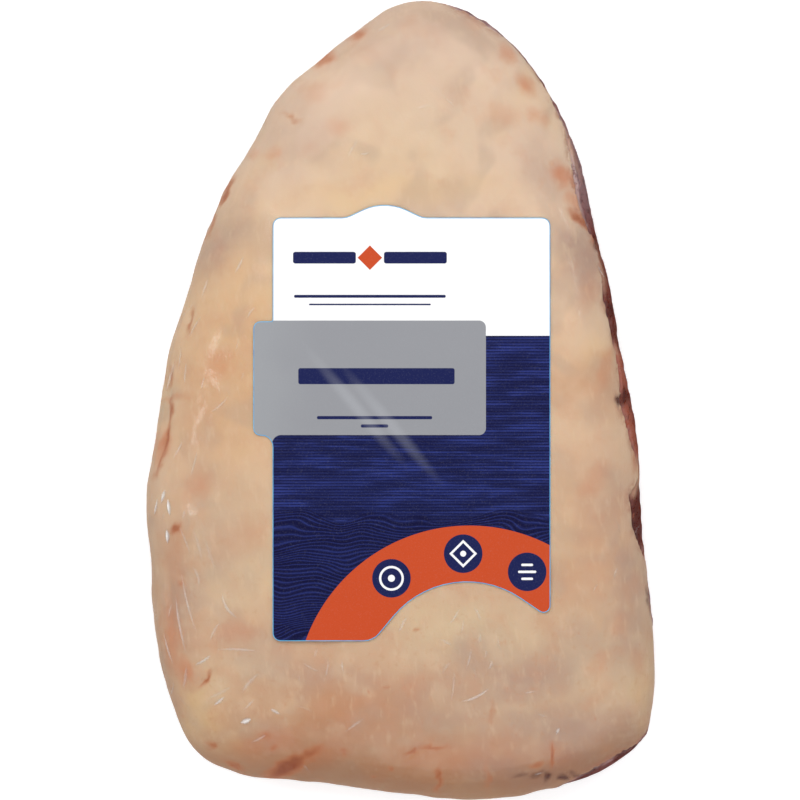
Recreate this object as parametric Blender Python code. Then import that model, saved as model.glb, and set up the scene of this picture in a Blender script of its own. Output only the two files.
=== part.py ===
"""Raw picanha, the triangular cap of a beef rump, shrunk tight in clear film, with one die-cut label on its fat side.

It lies fat side up on its flat underside. Metres, +Z up, +Y from the thick base end to the thin tip.
The film is drawn so tight that its outside is the outside of the fat and of the lean under it.
"""

import math

import bmesh
import bpy
import numpy as np
from mathutils import Vector

# Driving sizes of the cut
LENGTH = 0.300
WIDTH = 0.1916
THICKNESS = 0.044
FAT_DEPTH = 0.0105
GAP = 0.0003

# Where the rings of the mesh close: on the middle line, a little towards the base end
MIDDLE = np.array([0.0, -0.0118])

# The cut's outline from above, clockwise from the tip, as shares of the half width and the half length
OUTLINE = (
    (0.097, 1.000),
    (0.328, 0.951),
    (0.556, 0.801),
    (0.706, 0.600),
    (0.776, 0.399),
    (0.822, 0.295),
    (0.855, 0.160),
    (0.926, -0.066),
    (0.955, -0.355),
    (0.989, -0.530),
    (1.000, -0.719),
    (0.966, -0.843),
    (0.843, -0.909),
    (0.592, -0.972),
    (0.238, -1.000),
    (-0.037, -0.982),
    (-0.391, -0.953),
    (-0.666, -0.928),
    (-0.808, -0.875),
    (-0.912, -0.719),
    (-0.972, -0.505),
    (-0.978, -0.380),
    (-1.000, -0.270),
    (-0.966, -0.103),
    (-0.909, 0.097),
    (-0.795, 0.349),
    (-0.666, 0.549),
    (-0.569, 0.649),
    (-0.481, 0.750),
    (-0.273, 0.873),
    (-0.111, 0.949),
    (-0.050, 0.980),
)

# Height of the crown along the middle line, from the base end at -1 to the tip at 1, as shares of THICKNESS
CROWN_ALONG = ((-1.0, 0.80), (-0.72, 0.93), (-0.35, 1.0), (0.1, 0.97), (0.5, 0.83), (0.8, 0.66), (1.0, 0.54))
CROWN_DROP = 0.10  # how much lower the crown is at the sides

# What changes round the cut is given by direction from the middle, in degrees anticlockwise from +X
SHOULDER_WIDTH = (
    (0, 0.021),
    (50, 0.019),
    (90, 0.025),
    (140, 0.033),
    (180, 0.037),
    (225, 0.034),
    (270, 0.037),
    (315, 0.026),
)
FOOT_WIDTH = ((0, 0.016), (90, 0.013), (180, 0.020), (270, 0.018))
RIM_HEIGHT = ((0, 0.42), (90, 0.46), (180, 0.37), (270, 0.40))  # shares of the crown's height
# How far round the rim the fat reaches: degrees of the shoulder's arc above the widest line, or below it if negative
FAT_EDGE = (
    (0, 30),
    (8, 38),
    (13, 26),
    (26, 24),
    (32, 34),
    (43, 23),
    (52, 42),
    (63, 19),
    (73, 4),
    (79, 19),
    (90, -8),
    (110, -20),
    (128, -4),
    (150, -24),
    (180, -28),
    (225, -26),
    (262, -28),
    (292, -10),
    (299, 22),
    (305, 24),
    (311, -6),
    (321, -8),
    (326, 14),
    (331, -3),
    (336, 31),
    (345, 34),
    (350, 4),
    (356, 26),
)

SHOULDER_POWER = 2.3  # 2 is a circle's arc, and more is squarer
FOOT_POWER = 2.2

# Broad swells and dips that the muscle and the fat make in the top: across, along, radius, height
SWELLS = (
    (-0.050, -0.040, 0.030, 0.0012),
    (-0.078, -0.044, 0.010, 0.0022),
    (-0.078, -0.056, 0.008, 0.0016),
    (-0.074, -0.018, 0.012, -0.0018),
    (-0.068, 0.012, 0.014, -0.0014),
    (-0.058, 0.060, 0.016, -0.0012),
    (-0.038, 0.104, 0.014, -0.0012),
    (-0.020, -0.122, 0.022, 0.0012),
    (0.014, -0.132, 0.010, -0.0014),
    (0.050, -0.118, 0.018, -0.0010),
    (0.076, -0.078, 0.016, 0.0010),
    (0.072, -0.012, 0.016, -0.0012),
    (0.066, 0.050, 0.012, -0.0012),
    (0.030, 0.110, 0.022, 0.0010),
)

# How finely the solids are cut into rings and columns
COLUMNS = 128
SHOULDER_ROWS = 8
CROWN_ROWS = 7
FLANK_ROWS = 8
SEAM_ROWS = 7
SEAM_SPREAD = 1.4  # 1 spaces the seam's rings evenly, and more draws them towards the edge
SEAM_LEVEL = 0.16  # how far in, as a share of the way, the seam runs level as a knife leaves it
CROWN_BLEND = 0.09  # how softly the stations of the crown run into each other

# The label: a body with a low dome on top, a tab at the left and an arch cut from its foot
LABEL_LEFT, LABEL_RIGHT = -0.0476, 0.0562
LABEL_TOP, LABEL_FOOT = 0.0682, -0.0901
LABEL_THICKNESS = 0.0004
LABEL_CORNER = 0.0030
DOME_MIDDLE, DOME_HALF, DOME_PEAK = -0.0058, 0.0143, 0.0068
DOME_ROUNDS = (0.0075, 0.0190)
TAB_REACH, TAB_TOP, TAB_FOOT = 0.0072, 0.0294, -0.0133
TAB_CORNER, TAB_FILLET = 0.0026, 0.0041
ARCH_RADIUS = 0.0356
ARCH_PEAK = (0.0183, -0.0560)
ARCH_START = -0.0100
ARCH_SIDE = (0.0562, -0.0818)
ARCH_ROUNDS = (0.0075, 0.0026)
LABEL_CELL = 0.0115
LABEL_ARC_SAG = 0.00005  # how far the flats of a round stretch may lie inside its arc

FAT_COLOUR = (0.70, 0.50, 0.34, 1.0)
LEAN_COLOUR = (0.16, 0.035, 0.03, 1.0)
LABEL_COLOUR = (0.03, 0.04, 0.13, 1.0)


def clear_scene():
    for old in list(bpy.data.objects):
        bpy.data.objects.remove(old)


def material(name, colour, roughness):
    made = bpy.data.materials.new(name)
    made.use_nodes = True
    shader = made.node_tree.nodes["Principled BSDF"]
    shader.inputs["Base Color"].default_value = colour
    shader.inputs["Roughness"].default_value = roughness
    shader.inputs["Metallic"].default_value = 0.0
    return made


def eased(stations, where, period=None):
    """The value at where on a curve with level steps through the stations, repeating every period if one is given."""
    keys, values = np.array(stations, float).T
    if period:
        where = np.mod(where - keys[0], period) + keys[0]
        keys = np.append(keys, keys[0] + period)
        values = np.append(values, values[0])
    low = np.clip(np.searchsorted(keys, where, side="right") - 1, 0, len(keys) - 2)
    share = np.clip((where - keys[low]) / (keys[low + 1] - keys[low]), 0.0, 1.0)
    share = share * share * (3 - 2 * share)
    return values[low] * (1 - share) + values[low + 1] * share


def closed_curve(points, steps=24):
    """A smooth closed curve through the points, with its tangents set by the points on either side."""
    points = np.array(points, float)
    ahead = np.roll(points, -1, axis=0)
    reach = np.linalg.norm(ahead - points, axis=1)[:, None]
    behind_reach = np.roll(reach, 1, axis=0)
    slope = (ahead - points) / reach
    behind_slope = np.roll(slope, 1, axis=0)
    tangent = (behind_slope * reach + slope * behind_reach) / (reach + behind_reach)
    ahead_tangent = np.roll(tangent, -1, axis=0)
    t = np.arange(steps)[None, :, None] / steps
    start, end = points[:, None], ahead[:, None]
    leaving, arriving = (tangent * reach)[:, None], (ahead_tangent * reach)[:, None]
    curve = (
        start * (2 * t**3 - 3 * t**2 + 1)
        + leaving * (t**3 - 2 * t**2 + t)
        + end * (3 * t**2 - 2 * t**3)
        + arriving * (t**3 - t**2)
    )
    return curve.reshape(-1, 2)


def outline_of_cut():
    """The outline in metres, stretched to exactly WIDTH by LENGTH about the origin."""
    curve = closed_curve(OUTLINE)
    low, high = curve.min(axis=0), curve.max(axis=0)
    return (curve - (low + high) / 2) / (high - low) * np.array([WIDTH, LENGTH])


class Cut:
    """The outside of the cut: how far it reaches in each direction, and how high it is."""

    def __init__(self):
        rays = outline_of_cut() - MIDDLE
        angles = np.unwrap(np.arctan2(rays[:, 1], rays[:, 0]))[::-1]
        self.angles = angles
        self.reaches = np.linalg.norm(rays, axis=1)[::-1]

    def reach(self, angle):
        """Distance from the middle to the outline."""
        turn = 2 * math.pi
        angle = np.mod(angle - self.angles[0], turn) + self.angles[0]
        keys = np.append(self.angles, self.angles[0] + turn)
        return np.interp(angle, keys, np.append(self.reaches, self.reaches[0]))

    def squareness(self, angle, step=0.02):
        """Cosine between the ray from the middle and the outline's normal."""
        change = (self.reach(angle + step) - self.reach(angle - step)) / (2 * step)
        return 1 / np.sqrt(1 + (change / self.reach(angle)) ** 2)

    def columns(self, count):
        """Directions of the mesh's columns, evenly spaced along the outline."""
        fine = np.linspace(0, 2 * math.pi, 1441)
        points = self.reach(fine)[:, None] * np.stack([np.cos(fine), np.sin(fine)], axis=1)
        run = np.append(0, np.cumsum(np.linalg.norm(np.diff(points, axis=0), axis=1)))
        return np.interp(np.arange(count) * run[-1] / count, run, fine)

    def crown(self, x, y):
        """Height of the top where it is clear of the shoulders."""
        height = THICKNESS * eased_along(y / (LENGTH / 2))
        side = x / (WIDTH / 2)
        height = height * (1 - CROWN_DROP * side**2)
        for across, along, radius, rise in SWELLS:
            height = height + rise * np.exp(-((x - across) ** 2 + (y - along) ** 2) / radius**2)
        return height

    def rim_height(self, angle):
        rim = self.reach(angle)
        x, y = MIDDLE[0] + rim * np.cos(angle), MIDDLE[1] + rim * np.sin(angle)
        return eased(RIM_HEIGHT, np.degrees(angle), 360) * self.crown(x, y)

    def at_distance(self, angle, inwards):
        """The point this far inside the outline, measured square to it."""
        ray = self.reach(angle) - inwards / self.squareness(angle)
        return MIDDLE[0] + ray * np.cos(angle), MIDDLE[1] + ray * np.sin(angle)

    def shoulder(self, angle, phase):
        """A point of the rounded side. The phase is 0 on the widest line, 90 where the crown starts and -90 at the floor."""
        above = np.radians(np.clip(phase, 0, 90))
        below = np.radians(np.clip(-phase, 0, 90))
        degrees = np.degrees(angle)
        width = eased(SHOULDER_WIDTH, degrees, 360)
        foot = eased(FOOT_WIDTH, degrees, 360)
        inwards = width * (1 - np.cos(above) ** (2 / SHOULDER_POWER))
        inwards = inwards + foot * (1 - np.cos(below) ** (2 / FOOT_POWER))
        x, y = self.at_distance(angle, inwards)
        rim = self.rim_height(angle)
        rise = (self.crown(x, y) - rim) * np.sin(above) ** (2 / SHOULDER_POWER)
        fall = rim * np.sin(below) ** (2 / FOOT_POWER)
        return np.stack([x, y, rim + rise - fall], axis=-1)

    def top(self, x, y):
        """Height of the top above any point inside the outline."""
        angle = np.arctan2(y - MIDDLE[1], x - MIDDLE[0])
        ray = np.hypot(x - MIDDLE[0], y - MIDDLE[1])
        inwards = (self.reach(angle) - ray) * self.squareness(angle)
        width = eased(SHOULDER_WIDTH, np.degrees(angle), 360)
        outwards = np.clip(1 - inwards / width, 0, 1)
        rim = self.rim_height(angle)
        return rim + (self.crown(x, y) - rim) * (1 - outwards**SHOULDER_POWER) ** (1 / SHOULDER_POWER)


def eased_along(share):
    """CROWN_ALONG as a smooth curve: a weighted mean of the stations near the place."""
    keys, values = np.array(CROWN_ALONG, float).T
    weights = np.exp(-((np.asarray(share)[..., None] - keys) ** 2) / CROWN_BLEND)
    return (weights * values).sum(axis=-1) / weights.sum(axis=-1)


def crown_rows(cut, angles):
    """Rings from the shoulder's end in towards the middle, and the point at the middle."""
    edge = cut.shoulder(angles, np.full(len(angles), 90.0))[:, :2]
    rows = []
    for row in range(1, CROWN_ROWS + 1):
        share = 1 - row / (CROWN_ROWS + 1)
        place = MIDDLE + (edge - MIDDLE) * share
        rows.append(np.column_stack([place, cut.top(place[:, 0], place[:, 1])]))
    peak = np.array([*MIDDLE, float(cut.top(*MIDDLE))])
    return rows, peak


def fat_edge_phase(angles):
    return eased(FAT_EDGE, np.degrees(angles), 360)


def seam_rows(cut, angles, drop):
    """Rings of the face where fat meets lean, from the edge inwards, lowered by drop, and the point at the middle."""
    edge = cut.shoulder(angles, fat_edge_phase(angles))
    shares = 1 - (np.arange(SEAM_ROWS + 1) / (SEAM_ROWS + 1)) ** SEAM_SPREAD
    rows = []
    for share in shares[1:]:
        place = MIDDLE + (edge[:, :2] - MIDDLE) * share
        under_fat = cut.top(place[:, 0], place[:, 1]) - FAT_DEPTH
        level = math.exp(-(((1 - share) / SEAM_LEVEL) ** 2))
        height = edge[:, 2] * level + under_fat * (1 - level)
        rows.append(np.column_stack([place, height - drop]))
    edge = edge - np.array([0, 0, drop])
    middle = np.array([*MIDDLE, float(cut.top(*MIDDLE)) - FAT_DEPTH - drop])
    return edge, rows, middle


def ringed_mesh(name, rings, first_point, last_point=None):
    """A closed mesh through the rings, from a point at the middle of the first to a point or a flat cap at the last."""
    shape = bmesh.new()
    made = [[shape.verts.new(point) for point in ring] for ring in rings]
    count = len(rings[0])
    start = shape.verts.new(first_point)
    for i in range(count):
        shape.faces.new((start, made[0][i], made[0][(i + 1) % count]))
    for one, next_one in zip(made, made[1:]):
        if (one[0].co.xy - Vector(MIDDLE)).length < (next_one[0].co.xy - Vector(MIDDLE)).length:
            inner, outer = one, next_one
        else:
            inner, outer = next_one, one
        for i in range(count):
            ahead = (i + 1) % count
            shape.faces.new((inner[i], outer[i], outer[ahead]))
            shape.faces.new((inner[i], outer[ahead], inner[ahead]))
    if last_point is None:
        shape.faces.new(made[-1])
    else:
        end = shape.verts.new(last_point)
        for i in range(count):
            shape.faces.new((made[-1][i], end, made[-1][(i + 1) % count]))
    bmesh.ops.recalc_face_normals(shape, faces=shape.faces)
    if shape.calc_volume(signed=True) < 0:
        bmesh.ops.reverse_faces(shape, faces=shape.faces)
    mesh = bpy.data.meshes.new(name)
    shape.to_mesh(mesh)
    shape.free()
    mesh.shade_smooth()
    mesh.set_sharp_from_angle(angle=math.radians(50))
    return mesh


def add_object(name, mesh, finish):
    piece = bpy.data.objects.new(name, mesh)
    bpy.context.scene.collection.objects.link(piece)
    mesh.materials.append(finish)
    return piece


def fat_cap(cut, angles):
    """The layer of fat over the whole top, which runs down past the widest line except along the right side."""
    crown, peak = crown_rows(cut, angles)
    lowest = fat_edge_phase(angles)
    steps = np.linspace(1, 0, SHOULDER_ROWS + 1)
    side = [cut.shoulder(angles, lowest + (90 - lowest) * step) for step in steps]
    _, seam, middle = seam_rows(cut, angles, 0.0)
    rings = crown[::-1] + side + seam
    return add_object("fat_cap", ringed_mesh("fat_cap", rings, peak, middle), material("fat", FAT_COLOUR, 0.42))


def lean_meat(cut, angles):
    """The muscle under the fat, with its flank bare at the right and a flat foot."""
    edge, seam, middle = seam_rows(cut, angles, GAP)
    highest = fat_edge_phase(angles)
    steps = np.linspace(0, 1, FLANK_ROWS + 1)[1:]
    flank = [cut.shoulder(angles, highest + (-90 - highest) * step) for step in steps]
    flank[-1][:, 2] = 0.0
    rings = seam[::-1] + [edge] + flank
    return add_object("lean_meat", ringed_mesh("lean_meat", rings, middle), material("lean", LEAN_COLOUR, 0.38))


def rounded_outline(corners):
    """The polygon's corners, each given as x, y and radius, drawn as arcs of that radius."""
    points = []
    for i, (x, y, radius) in enumerate(corners):
        here = np.array([x, y])
        back = np.array(corners[i - 1][:2]) - here
        ahead = np.array(corners[(i + 1) % len(corners)][:2]) - here
        back, ahead = back / np.linalg.norm(back), ahead / np.linalg.norm(ahead)
        half = math.acos(float(back @ ahead)) / 2
        centre = here + (back + ahead) / np.linalg.norm(back + ahead) * radius / math.sin(half)
        start = here + back * radius / math.tan(half) - centre
        sweep = math.pi - 2 * half
        turn = sweep * math.copysign(1, start[1] * back[0] - start[0] * back[1])
        steps = max(2, math.ceil(sweep / (2 * math.acos(1 - LABEL_ARC_SAG / radius))))
        for step in range(steps + 1):
            angle = turn * step / steps
            cosine, sine = math.cos(angle), math.sin(angle)
            spoke = np.array([start[0] * cosine - start[1] * sine, start[0] * sine + start[1] * cosine])
            points.append(centre + spoke)
    return points


def label_corners():
    """The label's outline, clockwise from its top left corner."""
    return (
        (LABEL_LEFT, LABEL_TOP, LABEL_CORNER),
        (DOME_MIDDLE - DOME_HALF, LABEL_TOP, DOME_ROUNDS[0]),
        (DOME_MIDDLE, LABEL_TOP + DOME_PEAK, DOME_ROUNDS[1]),
        (DOME_MIDDLE + DOME_HALF, LABEL_TOP, DOME_ROUNDS[0]),
        (LABEL_RIGHT, LABEL_TOP, LABEL_CORNER),
        (*ARCH_SIDE, ARCH_ROUNDS[1]),
        (*ARCH_PEAK, ARCH_RADIUS),
        (ARCH_START, LABEL_FOOT, ARCH_ROUNDS[0]),
        (LABEL_LEFT, LABEL_FOOT, LABEL_CORNER),
        (LABEL_LEFT, TAB_FOOT, TAB_FILLET),
        (LABEL_LEFT - TAB_REACH, TAB_FOOT, TAB_CORNER),
        (LABEL_LEFT - TAB_REACH, TAB_TOP, TAB_CORNER),
        (LABEL_LEFT, TAB_TOP, TAB_CORNER / 4),
    )


def label(cut):
    """The printed label, cut out flat, gridded, laid on the film and given its thickness."""
    shape = bmesh.new()
    outline = rounded_outline(label_corners())
    shape.faces.new([shape.verts.new((x, y, 0)) for x, y in outline])
    bmesh.ops.triangulate(shape, faces=shape.faces)
    for axis in range(2):
        low = min(point[axis] for point in outline)
        high = max(point[axis] for point in outline)
        cuts = int((high - low) / LABEL_CELL)
        for i in range(1, cuts + 1):
            place = [0.0, 0.0, 0.0]
            place[axis] = low + (high - low) * i / (cuts + 1)
            normal = [float(k == axis) for k in range(3)]
            everything = shape.verts[:] + shape.edges[:] + shape.faces[:]
            bmesh.ops.bisect_plane(shape, geom=everything, plane_co=place, plane_no=normal)
    bmesh.ops.dissolve_degenerate(shape, edges=shape.edges, dist=1e-5)
    under = shape.faces[:]
    extruded = bmesh.ops.extrude_face_region(shape, geom=under)
    over = [piece for piece in extruded["geom"] if isinstance(piece, bmesh.types.BMVert)]
    for vertex in shape.verts:
        vertex.co.z = float(cut.top(vertex.co.x, vertex.co.y)) + GAP
    for vertex in over:
        vertex.co.z += LABEL_THICKNESS
    bmesh.ops.recalc_face_normals(shape, faces=shape.faces)
    mesh = bpy.data.meshes.new("label")
    shape.to_mesh(mesh)
    shape.free()
    return add_object("label", mesh, material("label_print", LABEL_COLOUR, 0.30))


def build():
    clear_scene()
    cut = Cut()
    angles = cut.columns(COLUMNS)
    fat_cap(cut, angles)
    lean_meat(cut, angles)
    label(cut)


build()
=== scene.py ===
import math

import bmesh
import bpy
import numpy as np
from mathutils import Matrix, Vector
from mathutils.bvhtree import BVHTree


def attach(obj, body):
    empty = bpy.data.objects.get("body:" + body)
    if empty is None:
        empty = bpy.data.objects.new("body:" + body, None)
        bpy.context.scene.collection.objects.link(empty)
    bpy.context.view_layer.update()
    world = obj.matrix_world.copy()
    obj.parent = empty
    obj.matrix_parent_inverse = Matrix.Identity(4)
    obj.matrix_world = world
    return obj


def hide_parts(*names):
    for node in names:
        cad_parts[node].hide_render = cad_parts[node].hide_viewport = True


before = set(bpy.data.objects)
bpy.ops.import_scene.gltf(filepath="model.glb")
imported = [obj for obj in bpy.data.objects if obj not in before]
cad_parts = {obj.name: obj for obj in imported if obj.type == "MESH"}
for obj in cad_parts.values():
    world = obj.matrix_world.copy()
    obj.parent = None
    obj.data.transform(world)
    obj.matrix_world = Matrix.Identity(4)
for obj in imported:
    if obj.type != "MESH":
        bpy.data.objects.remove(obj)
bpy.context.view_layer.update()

# The studio. A pale floor under a large soft light beyond the tip, with a weaker one over the base end
# and two small lamps that catch the film's creases. The camera looks straight down on the fat side.
VIEW_WIDTH = 0.300  # metres across the picture, at the height of the cut's widest line
WIDEST_LINE = 0.017
LENS_MM = 800
SENSOR_MM = 36
SEEN_TO = 20
FLOOR_SIDE = 6.0
FLOOR_WHITE = (0.93, 0.93, 0.93, 1.0)
FLOOR_ROUGHNESS = 0.8
FLOOR_GLOW = 0.45
AIM = Vector((0.0, 0.0, 0.02))
SOFT_LIGHTS = (
    # name, place, sides, watts, colour
    ("tip_softbox", (-0.15, 0.95, 1.15), (1.3, 0.9), 10.0, (1.0, 0.985, 0.96)),
    ("base_softbox", (0.25, -1.15, 1.05), (1.2, 0.8), 6.0, (0.97, 0.985, 1.0)),
    ("left_lamp", (-0.95, 0.15, 0.85), (0.10, 0.10), 1.0, (1.0, 1.0, 1.0)),
    ("right_lamp", (0.80, 0.45, 0.95), (0.08, 0.08), 0.6, (1.0, 1.0, 1.0)),
)
AMBIENT = 0.60
AMBIENT_COLOUR = (0.98, 0.99, 1.0, 1.0)


def linked(name, data):
    piece = bpy.data.objects.new(name, data)
    bpy.context.scene.collection.objects.link(piece)
    return piece


def screen(red, green, blue):
    """A colour as a screen shows it, from 0 to 255, as the linear one that a shader takes."""
    shares = np.array([red, green, blue]) / 255
    linear = np.where(shares <= 0.04045, shares / 12.92, ((shares + 0.055) / 1.055) ** 2.4)
    return (*linear.tolist(), 1.0)


lens = bpy.data.cameras.new("camera")
lens.lens = LENS_MM
lens.sensor_width = SENSOR_MM
lens.clip_end = SEEN_TO
camera = linked("camera", lens)
camera.location = (0.0, 0.0, WIDEST_LINE + VIEW_WIDTH * LENS_MM / SENSOR_MM)
bpy.context.scene.camera = camera

for light_name, light_place, light_sides, light_watts, light_colour in SOFT_LIGHTS:
    lamp = bpy.data.lights.new(light_name, "AREA")
    lamp.shape = "RECTANGLE"
    lamp.size, lamp.size_y = light_sides
    lamp.energy = light_watts
    lamp.color = light_colour
    softbox = linked(light_name, lamp)
    softbox.location = light_place
    softbox.rotation_euler = (AIM - Vector(light_place)).to_track_quat("-Z", "Y").to_euler()
    softbox.visible_camera = False

world = bpy.data.worlds.new("studio")
world.use_nodes = True
sky = world.node_tree.nodes["Background"].inputs
sky["Color"].default_value = AMBIENT_COLOUR
sky["Strength"].default_value = AMBIENT
bpy.context.scene.world = world
bpy.context.scene.view_settings.view_transform = "Standard"

floor_shape = bmesh.new()
bmesh.ops.create_grid(floor_shape, x_segments=1, y_segments=1, size=FLOOR_SIDE / 2)
floor_mesh = bpy.data.meshes.new("floor")
floor_shape.to_mesh(floor_mesh)
floor_shape.free()
floor = linked("floor", floor_mesh)
floor_paint = bpy.data.materials.new("floor_paint")
floor_paint.use_nodes = True
paint = floor_paint.node_tree.nodes["Principled BSDF"].inputs
paint["Base Color"].default_value = FLOOR_WHITE
paint["Roughness"].default_value = FLOOR_ROUGHNESS
paint["Emission Color"].default_value = (1.0, 1.0, 1.0, 1.0)
paint["Emission Strength"].default_value = FLOOR_GLOW
floor_mesh.materials.append(floor_paint)
floor.visible_diffuse = False  # the meat's flanks stay as dark as on a stand that is far below

# The lean. One muscle, dark red-brown from its time without air, with its grain at a slant across the cut.
# Its flank is bare at the right, where the fat was trimmed back, and its whole underside is cut flat. It is
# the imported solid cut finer, with the grain raised on it.
LEAN_CELL = 0.0015
LEAN_SMOOTHING = 4
FAT_CELL = 0.0012  # the fat is cut finer here too, because the lean's stains go by how near it is
FAT_SMOOTHING = 4
GRAIN_WAY = Vector((0.72, 0.69, 0.0)).normalized()
GRAIN_DRAWN_IN = 0.10
GRAIN_HEIGHT = 0.00016
BUNDLE_HEIGHT = 0.00020
RIM_ANGLE = math.radians(38)
MM = 0.001
# How far the stains reach down the flank from the fat's edge
RUST_REACH, DARK_REACH, FATTY_REACH = 9 * MM, 12 * MM, 4 * MM
SEAM_REACH, RIM_REACH = 1.2 * MM, 2.6 * MM
FLAT_TO, FLAT_FADE = 1.0 * MM, 3.0 * MM  # no grain is raised where the cut rests on the floor
# Where the lean is mauve, rust-brown or dark, and where a skin of fat covers it, in mm: across, along,
# length, width, turn in degrees, strength
MAUVE_LEAN = (
    (26.0, 144.0, 44, 18, -25, 1.0),
    (63.0, 98.0, 34, 16, -66, 1.0),
    (69.5, 80.0, 28, 14, -72, 1.0),
    (92.0, -70.0, 30, 10, 90, 0.9),
    (78.0, -138.0, 44, 16, 30, 0.45),
)
RUST_LEAN = (
    (83.0, 12.0, 28, 14, 84, 1.0),
    (87.5, -10.0, 30, 14, 84, 1.0),
    (90.0, -58.0, 12, 12, 84, 0.7),
)
DARK_LEAN = (
    (88.5, -44.0, 24, 16, 88, 0.85),
    (73.2, 58.5, 7, 5, 78, 1.0),
    (78.3, 36.0, 8, 6, 80, 1.0),
    (80.5, 27.0, 9, 5, 80, 0.8),
    (83.0, 0.0, 4, 4, 80, 1.0),
    (86.0, -134.5, 14, 6, 40, 0.8),
    (71.0, -141.0, 14, 6, 22, 0.6),
)
FATTY_LEAN = (
    (86.8, -33.2, 9, 3.0, 0, 0.9),
    (67.0, 90.0, 30, 3.0, -68, 0.7),
    (75.6, 48.0, 14, 6, -72, 0.9),
    (86.5, -26.5, 9, 10, 84, 0.9),
    (90.5, -30.0, 8, 10, 84, 1.0),
    (91.5, -61.0, 8, 10, 90, 0.8),
    (79.0, 18.5, 5, 5, 80, 0.6),
)


def welded_copy(*nodes):
    """The nodes' meshes in one new mesh, with corners that lie together made one and sharp rims kept."""
    shape = bmesh.new()
    for node in nodes:
        shape.from_mesh(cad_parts[node].data)
    bmesh.ops.remove_doubles(shape, verts=shape.verts, dist=0.01 * MM)
    creases = shape.edges.layers.float.new("crease_edge")
    for edge in shape.edges:
        edge[creases] = float(edge.is_manifold and edge.calc_face_angle() > RIM_ANGLE)
    mesh = bpy.data.meshes.new("copy")
    shape.to_mesh(mesh)
    shape.free()
    return mesh


def cut_finer(name, mesh, cell, smoothing):
    """A piece of even cells from a closed mesh, with its facets smoothed away."""
    rough, guide = linked(name + "_rough", mesh), linked(name + "_guide", mesh.copy())
    for shape in (rough, guide):
        rounded = shape.modifiers.new("round", "SUBSURF")
        rounded.levels = 1
        rounded.render_levels = 1
    remesh = rough.modifiers.new("cells", "REMESH")
    remesh.mode = "VOXEL"
    remesh.voxel_size = cell
    smooth = rough.modifiers.new("facets", "SMOOTH")
    smooth.factor = 0.5
    smooth.iterations = smoothing
    settled = rough.modifiers.new("settled", "SHRINKWRAP")
    settled.target = guide
    fine = bpy.data.meshes.new_from_object(rough.evaluated_get(bpy.context.evaluated_depsgraph_get()))
    for shape in (rough, guide):
        bpy.data.objects.remove(shape)
    fine.materials.clear()
    fine.shade_smooth()
    return linked(name, fine)


def corners(piece):
    """A mesh's corners and their normals, as two arrays."""
    points = np.empty(len(piece.data.vertices) * 3, np.float32)
    normals = np.empty_like(points)
    piece.data.vertices.foreach_get("co", points)
    piece.data.vertices.foreach_get("normal", normals)
    return points.reshape(-1, 3).astype(float), normals.reshape(-1, 3).astype(float)


def set_corners(piece, points):
    piece.data.vertices.foreach_set("co", points.astype(np.float32).ravel())
    piece.data.update()


def swells(points, length, seed, count=40):
    """Smooth uneven heights at the points, mostly from -1 to 1, from waves of about this length."""
    draw = np.random.default_rng(seed)
    ways = draw.normal(size=(count, 3))
    ways /= np.linalg.norm(ways, axis=1)[:, None]
    turns = 2 * math.pi / (length * draw.uniform(0.75, 1.5, count))
    phases = draw.uniform(0, 2 * math.pi, count)
    return np.sin(points @ (ways * turns[:, None]).T + phases).sum(axis=1) / math.sqrt(2 * count)


def along_grain(points):
    """The points with the grain's length drawn in, so that swells there come out as long bundles."""
    across = GRAIN_WAY.cross(Vector((0, 0, 1)))
    lengthwise = points @ np.array(GRAIN_WAY) * GRAIN_DRAWN_IN
    return np.stack([lengthwise, points @ np.array(across), points[:, 2]], axis=1)


def near(piece, points, reach):
    """How near each point is to the piece's surface: 1 on it, fading to 0 past the reach."""
    piece.data.calc_loop_triangles()
    surface = BVHTree.FromPolygons(
        [corner.co for corner in piece.data.vertices],
        [triangle.vertices for triangle in piece.data.loop_triangles],
    )
    distance = np.array([surface.find_nearest(point)[3] for point in points])
    return np.exp(-((distance / reach) ** 2))


def marked(piece, name, values):
    """Writes a value for each corner, which the piece's material can read by this name."""
    layer = piece.data.attributes.new(name, "FLOAT", "POINT")
    layer.data.foreach_set("value", values.astype(np.float32))


def stained(points, rows, soft):
    """How strongly the stains colour each point. Soft is how much of a stain's breadth its edge takes."""
    together = np.zeros(len(points))
    for across, along, length, width, turn, strength in rows:
        from_x, from_y = points[:, 0] / MM - across, points[:, 1] / MM - along
        cosine, sine = math.cos(math.radians(turn)), math.sin(math.radians(turn))
        lengthwise, crosswise = from_x * cosine + from_y * sine, from_y * cosine - from_x * sine
        out = np.hypot(lengthwise / (length / 2), crosswise / (width / 2))
        share = np.clip((1 + soft - out) / (2 * soft), 0.0, 1.0)
        together = np.maximum(together, strength * share * share * (3 - 2 * share))
    return together


def ragged_by(points, length, reach, seed):
    """The points moved about unevenly in plan, so that what is placed by them has ragged edges."""
    moves = [swells(points, length, seed + way) * reach for way in range(2)]
    return points + np.stack([*moves, np.zeros(len(points))], axis=1)


lean = cut_finer("lean", welded_copy("lean_meat"), LEAN_CELL, LEAN_SMOOTHING)
fat = cut_finer("fat", welded_copy("fat_cap"), FAT_CELL, FAT_SMOOTHING)

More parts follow.
